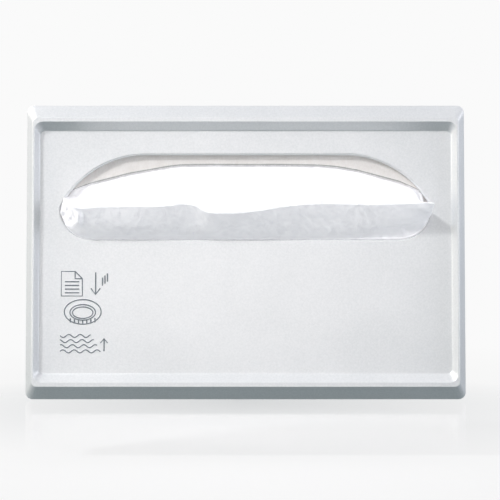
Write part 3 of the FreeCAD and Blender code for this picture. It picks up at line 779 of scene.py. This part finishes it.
    def upper_part(self, share: float, edge: Vector, crest: Vector) -> list[Vector]:
        """Works out a column's points between the free edge and the crest.

        Args:
            share: The column's place across the sheet, from 0 at the left to 1 at the right.
            edge: The column's point on the free edge.
            crest: The column's point on the crest.

        Returns:
            The points under the flap's edge, in the upper face and at the shoulder.
        """
        at_left = self.left_end.at(share)
        free = 1.0 - at_left - self.right_end.at(share)
        sunk = self.sunk_left.at(share)
        hid = self.hid_right.at(share)
        flap_z = edge.z - self.edge_rise
        start = Vector((edge.x, edge.y - self.flap_step, flap_z - self.flap_drop))
        upper = start.lerp(crest, self.upper_share) + Vector(self.upper_arch) * free
        upper += Vector(self.upper_left) * at_left
        deep = start.lerp(crest, self.deep_share) + Vector(self.deep_shift)
        upper = upper.lerp(Vector((deep.x, self.deep_y, deep.z)), sunk)
        x, y, z = self.hid_upper
        upper = upper.lerp(Vector((edge.x + x, y, flap_z + z)), hid)
        shoulder = start.lerp(crest, self.shoulder_share) + Vector(self.shoulder_arch) * free
        shoulder += Vector(self.shoulder_left) * at_left
        shoulder = shoulder.lerp(start.lerp(crest, self.sunk_share), sunk)
        shoulder.y += (self.sunk_y - shoulder.y) * sunk
        x, y, z = self.hid_shoulder
        shoulder = shoulder.lerp(Vector((crest.x + x, y, crest.z + z)), hid)
        return [start, upper, shoulder]

    def hanging_part(self, share: float, crest: Vector, lip: Vector) -> list[Vector]:
        """Works out a column's points between the crest and the slot's lip.

        Args:
            share: The column's place across the sheet, from 0 at the left to 1 at the right.
            crest: The column's point on the crest.
            lip: The column's point on the slot's lower lip.

        Returns:
            The points under the crest, in the face, low in the face and where it tucks in.
        """
        tip = self.left_tip.at(share)
        swollen = math.exp(-(((lip.x - self.belly_x) / self.belly_reach) ** 2))
        tucked_in = self.tuck_from.at(lip.x) * self.tuck_until.at(share)
        x, y, z = self.under_crest
        under = crest + Vector((x * tip, y, z))
        belly = self.belly + self.left_belly * swollen
        bulge = self.left_bulge * tip
        face = under.lerp(lip, self.face_share) + Vector((-bulge, -belly, -self.face_drop))
        low_face = under.lerp(lip, self.low_share)
        low_face += Vector((-0.4 * bulge, -0.5 - 0.5 * belly, -self.low_drop))
        x, y, z = self.tuck_low
        low_face += Vector((x, y, z * self.tuck)) * tucked_in
        tucked = lip + Vector((0, -self.lip_lift - self.lip_belly * swollen, self.lip_lift))
        x, y, z = self.tuck_lip
        tucked += Vector((x, y, z * self.tuck)) * tucked_in
        return [under, face, low_face, tucked]

    def tail_part(self, share: float, lip: Vector) -> list[Vector]:
        """Works out a column's points behind the slot's lip, down to the tail's end.

        Args:
            share: The column's place across the sheet, from 0 at the left to 1 at the right.
            lip: The column's point on the slot's lower lip.

        Returns:
            The points behind the lip, in the drop, where the tail comes to rest and at its end.
        """
        tail_x = (2 * share - 1) * self.tail_half
        drop_x = tail_x * self.drop_blend + lip.x * (1 - self.drop_blend)
        return [
            Vector((lip.x, self.behind_lip[0], lip.z + self.behind_lip[1])),
            Vector((drop_x, self.drop[0], lip.z + self.drop[1])),
            Vector((tail_x, self.tail_y, lip.z + self.rest)),
            Vector((tail_x, self.tail_y, self.tail_end)),
        ]

    def column(self, share: float) -> list[Vector]:
        """Works out the control points of one column, from the free edge to the tail.

        Args:
            share: The column's place across the sheet, from 0 at the left to 1 at the right.

        Returns:
            The column's control points.
        """
        edge_x = (2 * share - 1) * self.edge_half
        edge = Vector((edge_x, self.edge_y, level_at(OPENING_EDGE, edge_x) + self.edge_rise))
        crest = Vector(point_at(self.crest, share))
        lip = Vector(point_at(self.lip, share))
        return [
            edge, *self.upper_part(share, edge, crest), crest, *self.hanging_part(share, crest, lip),
            lip, *self.tail_part(share, lip),
        ]

    def crumple(self, point: Vector, along: float, share: float) -> Vector:
        """Gives the small unevenness of handled tissue at a point.

        Args:
            point: The smooth sheet's point.
            along: The place down the sheet, from 0 at the free edge to 1 at the tail.
            share: The place across the sheet, from 0 to 1.

        Returns:
            A small move, in millimetres.
        """
        in_sight = self.open_from.at(along) * self.open_until.at(along)
        near_end = self.crumpled_left.at(share) + self.right_crumple * self.crumpled_right.at(share)
        fine = self.fine.wave(point)
        swell = self.soft_depth * self.soft.wave(point) + self.fine_depth * fine
        swell += self.ridge_depth * self.ridges.ridge(point)
        swell += near_end * (self.end_sharp_depth * self.sharp.ridge(point) + self.end_fine_depth * fine)
        return Vector((self.sway * fine, -1.0, self.lift)) * swell * in_sight

    def shape(self) -> bpy.types.Object:
        """Makes the sheet's mesh, column by column, with its creases and its crumples.

        Returns:
            The smooth sheet, with the thickness of its paper.
        """
        lines = []
        for i in range(self.columns + 1):
            share = (i / self.columns) ** self.left_crowding
            knots = [tuple(point) for point in self.column(share)]
            line = []
            for j in range(self.rows + 1):
                along = (j / self.rows) ** self.top_crowding
                place = Vector(smooth_between(knots, along))
                for crease in self.creases:
                    place += crease.move(place, along)
                line.append(place + self.crumple(place, along, share))
            lines.append(line)
        sheet = walled_sheet("drawn_sheet", lines, self.thickness, rising=False)
        only(sheet)
        bpy.ops.object.shade_smooth()
        return sheet

    def build(self) -> list[str]:
        """Adds the drawn cover in place of its plain solid.

        Returns:
            The names of the added pieces.
        """
        sheet = self.shape()
        # Tissue that a hand has drawn is coarser than in the pack, and the brightest thing in view, with the
        # strongest painted glow.
        tissue = TissuePaper(
            "creped_tissue", "#EAEAEC", "#FFFFFF", crepe_mm=2.0, bump_um=320.0, painted_glow=0.14)
        dress(sheet, tissue.build())
        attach(sheet, "wall_side")
        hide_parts("pulled_cover")
        return [sheet.name]


@dataclass
class PaperPack:
    """The pack of half-folded covers: slightly uneven leaves, the front flap, and a painted shadow line along
    the flap's lower edge.
    """

    leaves: int = 26
    width: float = 374.0
    height: float = 240.0
    thickness: float = 34.4
    bottom: float = -134.5
    back: float = -6.1
    corner: float = 70.0
    corner_segments: int = 14
    fill: float = 0.96  # the share of a leaf's room that its paper takes up
    soft_share: float = 0.3  # an edge's rounding, as a share of the leaf's thickness
    soft_angle_deg: float = 50.0
    shift: float = 0.7  # how far a leaf may lie out of line
    smooth_angle_deg: float = 35.0
    flap_y: float = -42.5
    flap_thickness: float = 0.25
    flap_columns: int = 160
    flap_rows: int = 8
    flap_inset: float = 1.0  # how far the flap's top lies inside the leaves' outline
    flap_least: float = 1.0
    flap_wave: float = 0.12
    flap_ripple: Ripple = Ripple(24, 18, 4.2)
    # The painted shadow line: a grey strip along the flap's lower edge that stands in for the flap's shadow.
    shadow_line_columns: int = 240
    shadow_line_height: float = 1.1
    shadow_line_inset: float = 8.0  # how far the painted shadow strip stops short of the pack's sides
    shadow_line_taper: float = 30.0
    shadow_line_least: float = 0.05
    shadow_line_drop: float = 0.25
    shadow_line_step: float = 0.3  # how far the strip lies in front of the flap
    shadow_line_thickness: float = 0.1

    def leaf(self) -> bpy.types.Object:
        """Models the leaf at the back of the pack.

        Returns:
            A thin block with two large rounded corners and soft edges.
        """
        deselect_all()
        thick = self.thickness / self.leaves * self.fill
        centre = (0, (self.back - thick / 2) * MM, (self.bottom + self.height / 2) * MM)
        bpy.ops.mesh.primitive_cube_add(size=1.0, location=centre)
        piece = bpy.context.object
        piece.scale = (self.width * MM, thick * MM, self.height * MM)
        settle_in_mesh(piece)
        top = (self.bottom + self.height) * MM
        bpy.ops.object.mode_set(mode="EDIT")
        bpy.ops.mesh.select_mode(type="EDGE")
        bpy.ops.mesh.select_all(action="DESELECT")
        edit = bmesh.from_edit_mesh(piece.data)
        for edge in edit.edges:
            a, b = (v.co for v in edge.verts)
            along_y = max(abs(a.x - b.x), abs(a.z - b.z)) < MICRON
            edge.select = along_y and abs(a.z - top) < MICRON
        bmesh.update_edit_mesh(piece.data)
        bpy.ops.mesh.bevel(offset=self.corner * MM, segments=self.corner_segments, affect="EDGES")
        bpy.ops.object.mode_set(mode="OBJECT")
        soft = piece.modifiers.new("soft_edges", "BEVEL")
        soft.width = thick * self.soft_share * MM
        soft.segments = 2
        soft.angle_limit = math.radians(self.soft_angle_deg)
        apply_modifiers(piece)
        return piece

    def flap(self) -> bpy.types.Object:
        """Makes the front flap, whose lower edge follows the opening that the drawn cover has left.

        Returns:
            The flap, slightly wavy.
        """
        top = self.bottom + self.height
        straight = self.width / 2 - self.corner
        first, last = OPENING_EDGE[0][0], OPENING_EDGE[-1][0]
        lines = []
        for i in range(self.flap_columns + 1):
            x = first + (last - first) * i / self.flap_columns
            low = level_at(OPENING_EDGE, x)
            over = max(0.0, abs(x) - straight)
            high = top - self.corner + math.sqrt(max(self.corner ** 2 - over ** 2, 0.0)) - self.flap_inset
            high = max(high, low + self.flap_least)
            line = []
            for j in range(self.flap_rows + 1):
                z = low + (high - low) * j / self.flap_rows
                wave = self.flap_wave * self.flap_ripple.wave(Vector((x, 0, z)))
                line.append(Vector((x, self.flap_y + wave, z)))
            lines.append(line)
        return walled_sheet("flap", lines, self.flap_thickness, rising=True)

    def painted_shadow_line(self) -> bpy.types.Object:
        """Makes a painted shadow line: a narrow grey strip just in front of the flap's lower border, where the
        flap's shadow falls on the drawn cover.

        Returns:
            The strip, which tapers off at both ends.
        """
        half = self.width / 2 - self.shadow_line_inset
        lines = []
        for i in range(self.shadow_line_columns + 1):
            x = -half + 2 * half * i / self.shadow_line_columns
            low = level_at(OPENING_EDGE, x) - self.shadow_line_drop
            tall = self.shadow_line_height * min(1.0, (half - abs(x)) / self.shadow_line_taper) + self.shadow_line_least
            lines.append([Vector((x, self.flap_y - self.shadow_line_step, low + up)) for up in (0.0, tall)])
        return walled_sheet("flap_painted_shadow_line", lines, self.shadow_line_thickness, rising=True)

    def stack(self) -> bpy.types.Object:
        """Copies the leaf through the pack, shifts each copy a little and joins them with the flap.

        Returns:
            The pack, as one mesh.
        """
        first = self.leaf()
        pitch = self.thickness / self.leaves
        copies = []
        for i in range(self.leaves):
            copy = link_new(first.name, first.data.copy())
            aside = noise.noise(Vector((i * 1.7, 0, 0)))
            up = abs(noise.noise(Vector((0, i * 2.3, 0))))
            step = Vector((aside * self.shift, -i * pitch, up * self.shift)) * MM
            copy.data.transform(Matrix.Translation(step))
            copies.append(copy)
        bpy.data.objects.remove(first)
        copies.append(self.flap())
        only(copies[0])
        for copy in copies:
            copy.select_set(True)
        bpy.ops.object.join()
        pack = bpy.context.object
        pack.name = "paper_pack"
        only(pack)
        bpy.ops.object.shade_smooth_by_angle(angle=math.radians(self.smooth_angle_deg))
        return pack

    def build(self) -> list[str]:
        """Adds the pack in place of its plain solid, and the painted shadow line in front of it.

        Returns:
            The names of the added pieces.
        """
        pack = self.stack()
        # Tissue pressed in a pack is smooth, a little warmer than the sheet in front, and has only a faint
        # painted glow.
        dress(pack, TissuePaper("pack_tissue", "#EDEAE7", "#F6F4F2", painted_glow=0.04).build())
        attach(pack, "wall_side")
        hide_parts("cover_stack")
        strip = self.painted_shadow_line()
        # Painted shadow: a grey tissue strip with no glow and little light through it, standing in for the
        # thin shadow that the flap's edge casts on the drawn cover.
        painted_shadow = TissuePaper("painted_shadow_tissue", "#9FA19F", "#B4B6B4", painted_glow=0.0, translucency=0.1)
        dress(strip, painted_shadow.build())
        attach(strip, "wall_side")
        return [pack.name, strip.name]


@dataclass
class PanelPictogram:
    """A generic line pictogram printed on the panel: a folded sheet with an arrow, an oval ring, and waves.

    Its strokes are laid out in X and Z from the pictogram's centre.
    """

    centre_x: float = -157.9
    centre_z: float = -59.2
    width: float = 53.0
    height: float = 84.0
    face: float = -48.0
    stroke: float = 0.7
    halo: float = 1.0
    film: float = 0.06
    film_overlap: float = 0.8  # the lines' lift off the halo, as a share of the film
    margin: float = 4.0
    fold: float = 7.0
    sheet_right: float = -2.0
    sheet_height: float = 24.0
    ring_x: float = -1.5
    ring_half: Pair = (18.0, 12.0)
    ring_steps: int = 40
    strokes: list[tuple[list[Pair], bool]] = field(default_factory=list)

    def line(self, points: Sequence[Pair], closed: bool = False) -> None:
        """Adds one stroke."""
        self.strokes.append((list(points), closed))

    def oval(self, z: float, half_x: float, half_z: float) -> None:
        """Adds an oval stroke round the ring's middle.

        Args:
            z: The oval's middle height.
            half_x: Half of its width.
            half_z: Half of its height.
        """
        angles = [2 * math.pi * i / self.ring_steps for i in range(self.ring_steps)]
        self.line([(self.ring_x + half_x * math.cos(a), z + half_z * math.sin(a)) for a in angles], True)

    def arrow(self, x: float, start: float, end: float, barb: Pair) -> None:
        """Adds an upright arrow, whose head reaches a little past its shaft.

        Args:
            x: The arrow's place across.
            start: The shaft's height at its tail.
            end: The shaft's height at its head.
            barb: How far the head's barbs reach aside and back.
        """
        way = math.copysign(1.0, end - start)
        point = end + 0.5 * way
        foot = point - barb[1] * way
        self.line([(x, start), (x, end)])
        self.line([(x - barb[0], foot), (x, point), (x + barb[0], foot)])

    def folded_sheet(self, half: float, top: float) -> None:
        """Adds the folded sheet with its written lines, the arrow and the short bars beside it.

        Args:
            half: Half of the pictogram's width.
            top: Half of the pictogram's height.
        """
        left, right = -half + self.margin, self.sheet_right
        high, low = top - 2, top - 2 - self.sheet_height
        inner, under = right - self.fold, high - self.fold
        self.line([(left, low), (left, high), (inner, high), (right, under), (right, low)], True)
        self.line([(inner, high), (inner, under), (right, under)])
        for i in range(4):
            z = top - 12 - i * 3.6
            self.line([(left + 3.5, z), (right - 3, z)])
        self.arrow(11, top - 3, top - 24, (4.5, 6.0))
        for i in range(3):
            x = half - self.margin - i * 2.4
            self.line([(x, top - 4 - i * 2), (x, top - 12 - i * 2)])

    def ring(self) -> None:
        """Adds the ring, three ovals with a row of short ticks under them."""
        self.oval(0.5, *self.ring_half)
        self.oval(0.0, 12.5, 7.6)
        self.oval(-0.3, 10.0, 5.6)
        for i in range(7):
            x = -13.5 + i * 4
            z = -0.2 - 7.4 * math.sqrt(max(0.0, 1 - ((x - self.ring_x) / self.ring_half[0]) ** 2))
            self.line([(x, z), (x, z - 4.2)])

    def waves(self, half: float, top: float) -> None:
        """Adds four rows of waves, each shorter than the one below, and the small arrow beside them.

        Args:
            half: Half of the pictogram's width.
            top: Half of the pictogram's height.
        """
        for row in range(4):
            z = -top + self.margin + row * 5.0
            steps = range(37 - 3 * row)
            self.line([(-half + 3 + i * 1.1, z + 1.5 * math.sin(i * 0.62 + row)) for i in steps])
        self.arrow(half - 7, -top + self.margin, -top + 16, (3.5, 4.5))

    def trace(self, name: str, radius: float, lift: float) -> bpy.types.Object:
        """Turns the strokes into one flat printed film.

        Args:
            name: The piece's name.
            radius: Half of the stroke's width.
            lift: How far the film's middle stands off the panel.

        Returns:
            The film, as a mesh in its place.
        """
        curve = bpy.data.curves.new(name, "CURVE")
        curve.dimensions = "3D"
        curve.bevel_depth = radius * MM
        curve.bevel_resolution = 1
        curve.resolution_u = 1
        for points, closed in self.strokes:
            spline = curve.splines.new("POLY")
            spline.points.add(len(points) - 1)
            spline.use_cyclic_u = closed
            for target, (x, z) in zip(spline.points, points):
                target.co = (x * MM, 0, z * MM, 1)
        film = link_new(name, curve)
        only(film)
        bpy.ops.object.convert(target="MESH")
        film = bpy.context.object
        film.scale = (1, self.film / radius, 1)
        film.location = (self.centre_x * MM, (self.face - lift) * MM, self.centre_z * MM)
        settle_in_mesh(film)
        return film

    def build(self) -> list[str]:
        """Adds the print, a pale halo and the grey lines on it.

        Returns:
            The names of the added pieces.
        """
        half, top = self.width / 2, self.height / 2
        self.folded_sheet(half, top)
        self.ring()
        self.waves(half, top)
        halo = self.trace("print_halo", self.halo, 0.0)
        lines = self.trace("print_lines", self.stroke, self.film * self.film_overlap)
        # White ink hides the lacquer's flake round the lines, and the grey ink reads as a mid tone.
        dress(halo, PrintedInk("white_ink", "#EDEFF0", "#F6F7F8").build())
        dress(lines, PrintedInk("grey_ink", "#666D72", "#848B90").build())
        for film in (halo, lines):
            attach(film, "cover")
        return [halo.name, lines.name]


@dataclass
class Case:
    """The moulded shells, the hinge pins and the lock, which are the frame's own solids."""

    nodes: dict[str, bpy.types.Object]

    def build(self) -> list[str]:
        """Gives each solid its finish.

        Returns:
            The names of the dressed solids.
        """
        silver = SatinSilverLacquer().build()
        grey = MouldedGreyAbs().build()
        # Zinc plate is a duller and cooler grey, and nickel plate is brighter and a little warm.
        zinc = PlatedMetal("zinc_plated_steel", "#9A9C9C", "#C2C4C3", 0.34).build()
        nickel = PlatedMetal("nickel_plated_zinc", "#B9B7B2", "#DAD8D3", 0.20).build()
        finishes = {
            "front_cover": silver, "back_plate": grey, "hinge_pin_left": zinc, "hinge_pin_right": zinc,
            "lock_housing": nickel, "lock_nut": zinc, "lock_plug": nickel, "lock_cam": zinc,
            "lock_screw": zinc,
        }
        for name, material in finishes.items():
            dress(self.nodes[name], material)
        return list(finishes)


@dataclass(frozen=True)
class Lamp:
    """A soft rectangular lamp: its place and size in metres, its power and its colour."""

    name: str
    place: Point
    size: Pair
    watts: float
    code: str = "#FFFFFF"


@dataclass
class Studio:
    """The camera, the lamps, the world, the pale floor and the clear sheet over it."""

    floor_z: float = -205.0  # low enough for the opened cover
    floor_size: float = 6.0
    gloss_z: float = -144.4  # just under the case
    gloss_size: float = 1.4
    lens: float = 85.0
    sensor: float = 36.0
    frame_px: float = 500.0
    case_px: float = 441.0
    case_mm: float = 430.0
    aim: Point = (4.3, -54.0, 1.54)
    pitch_deg: float = 2.1
    world_low: str = "#A2B2B7"
    world_high: str = "#F0F2F8"
    world_strength: float = 0.65
    horizon: float = 0.50  # where the room is darkest, by height from 0 below to 1 above
    ceiling: float = 0.68  # from where on it is brightest
    backdrop: str = "#FAFAFA"
    lamp_aim: Point = (0.0, -0.05, 0.0)
    lamps: Sequence[Lamp] = (
        Lamp("key", (-2.26, -2.2, 2.5), (0.5, 0.5), 106.0),
        Lamp("front", (-0.10, -2.2, -0.02), (1.3, 0.25), 5.4, "#FFF5F3"),
        Lamp("front_high", (0.0, -2.1, 1.05), (1.5, 0.3), 4.5, "#FFF5F0"),
        Lamp("left", (-1.5, -0.35, 0.25), (0.7, 0.9), 7.6, "#FFF4E6"),
        Lamp("right", (1.5, -0.35, 0.25), (0.7, 0.9), 8.8, "#F7F6FF"),
    )

    def camera(self) -> None:
        """Places the camera nearly square on, a little below the case's middle and tipped up."""
        data = bpy.data.cameras.new("camera")
        data.lens = self.lens
        data.sensor_width = self.sensor
        view_width = self.case_mm * self.frame_px / self.case_px
        distance = view_width * self.lens / self.sensor
        pitch = math.radians(self.pitch_deg)
        place = Vector(self.aim) - Vector((0, math.cos(pitch), math.sin(pitch))) * distance
        camera = link_new("camera", data)
        camera.location = place * MM
        camera.rotation_euler = (math.radians(90) + pitch, 0, 0)
        bpy.context.scene.camera = camera

    def light(self, lamp: Lamp) -> None:
        """Hangs one lamp, turned towards the case.

        Args:
            lamp: The lamp.
        """
        data = bpy.data.lights.new(lamp.name, "AREA")
        data.shape = "RECTANGLE"
        data.size, data.size_y = lamp.size
        data.energy = lamp.watts
        data.color = hex_to_linear(lamp.code)[:3]
        holder = link_new(lamp.name, data)
        holder.location = lamp.place
        holder.rotation_mode = "QUATERNION"
        holder.rotation_quaternion = (Vector(self.lamp_aim) - Vector(lamp.place)).to_track_quat("-Z", "Y")

    def world(self) -> None:
        """Makes the surroundings: near white for the camera, and a soft room, brighter above, for the rest."""
        world = bpy.data.worlds.new("studio")
        bpy.context.scene.world = world
        world.use_nodes = True
        tree = world.node_tree
        tree.nodes.clear()
        way = add_node(tree, "ShaderNodeTexCoord").outputs["Generated"]
        split = add_node(tree, "ShaderNodeSeparateXYZ", links={"Vector": way})
        height = add_node(tree, "ShaderNodeMapRange", {"From Min": -1.0, "From Max": 1.0}, {
            "Value": split.outputs["Z"]})
        room = add_node(tree, "ShaderNodeValToRGB", {
            "stops": ((self.horizon, self.world_low), (self.ceiling, self.world_high))}, {
            "Fac": height.outputs["Result"]})
        lit = add_node(tree, "ShaderNodeBackground", {"Strength": self.world_strength}, {
            "Color": room.outputs["Color"]})
        seen = add_node(tree, "ShaderNodeBackground", {
            "Color": hex_to_linear(self.backdrop), "Strength": 1.0})
        path = add_node(tree, "ShaderNodeLightPath")
        pick = add_node(tree, "ShaderNodeMixShader", links={
            0: path.outputs["Is Camera Ray"], 1: lit.outputs[0], 2: seen.outputs[0]})
        add_node(tree, "ShaderNodeOutputWorld", links={"Surface": pick.outputs[0]})

    def plane(self, name: str, level: float, size: float, material: bpy.types.Material) -> None:
        """Lays one level plane as part of the stage.

        Args:
            name: The plane's name.
            level: Its height, in millimetres.
            size: Its width, in metres.
            material: Its material.
        """
        deselect_all()
        bpy.ops.mesh.primitive_plane_add(size=size, location=(0, 0, level * MM))
        plane = bpy.context.object
        plane.name = name
        settle_in_mesh(plane)
        dress(plane, material)

    def build(self) -> list[str]:
        """Sets the colour management and builds the studio.

        Returns:
            The names of the lamps and the planes.
        """
        bpy.context.scene.view_settings.view_transform = "Standard"
        self.camera()
        for lamp in self.lamps:
            self.light(lamp)
        self.world()
        self.plane("floor", self.floor_z, self.floor_size, PaleFloor().build())
        self.plane("gloss_sheet", self.gloss_z, self.gloss_size, ClearAcrylicSheet().build())
        return [lamp.name for lamp in self.lamps] + ["floor", "gloss_sheet"]


def main() -> None:
    logging.basicConfig(level=logging.INFO)
    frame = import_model()
    for part in (Case(frame["nodes"]), PaperPack(), DrawnSheet(), PanelPictogram(), Studio()):
        for name in part.build():
            LOG.info("%s is in place", name)


if __name__ == "__main__":
    main()
